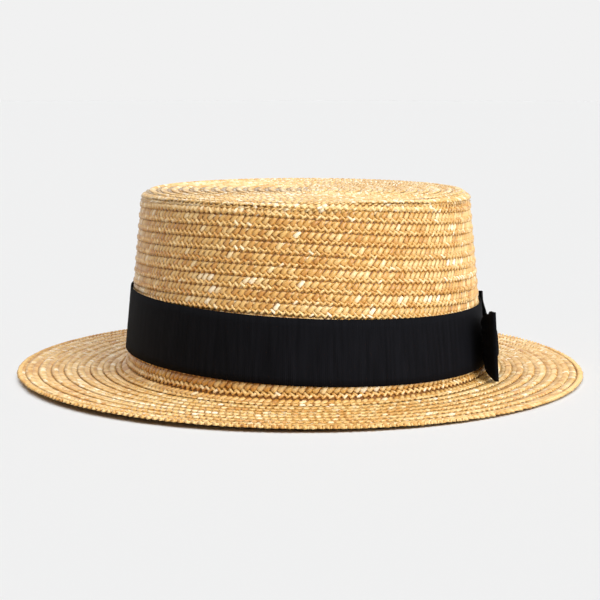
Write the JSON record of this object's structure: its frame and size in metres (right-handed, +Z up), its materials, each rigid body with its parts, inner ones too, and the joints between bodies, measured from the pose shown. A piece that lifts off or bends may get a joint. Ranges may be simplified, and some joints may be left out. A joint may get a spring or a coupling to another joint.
{
  "type": "straw boater hat",
  "caption": "Straw boater hat with a flat oval crown, a flat brim, a black ribbed ribbon round the crown's foot and a flat bow at its left side.",
  "frame": {"origin": "middle of the hat's plan on the surface that it rests on, under its brim", "axes": "+Z up; Y along the longer way of the oval with the hat's front towards -Y; X across it, with the bow, the wearer's left, towards +X"},
  "size_m": [0.27, 0.3, 0.0877],
  "materials": {
    "plaited_straw": "varnished wheat straw plait, satin",
    "ribbed_ribbon": "black grosgrain ribbon, dull"
  },
  "bodies": {
    "root": {"crown": "plaited_straw", "brim": "plaited_straw", "hat_band": "ribbed_ribbon", "bow_near_loop": "ribbed_ribbon", "bow_far_loop": "ribbed_ribbon", "bow_wrap": "ribbed_ribbon"}
  },
  "joints": []
}
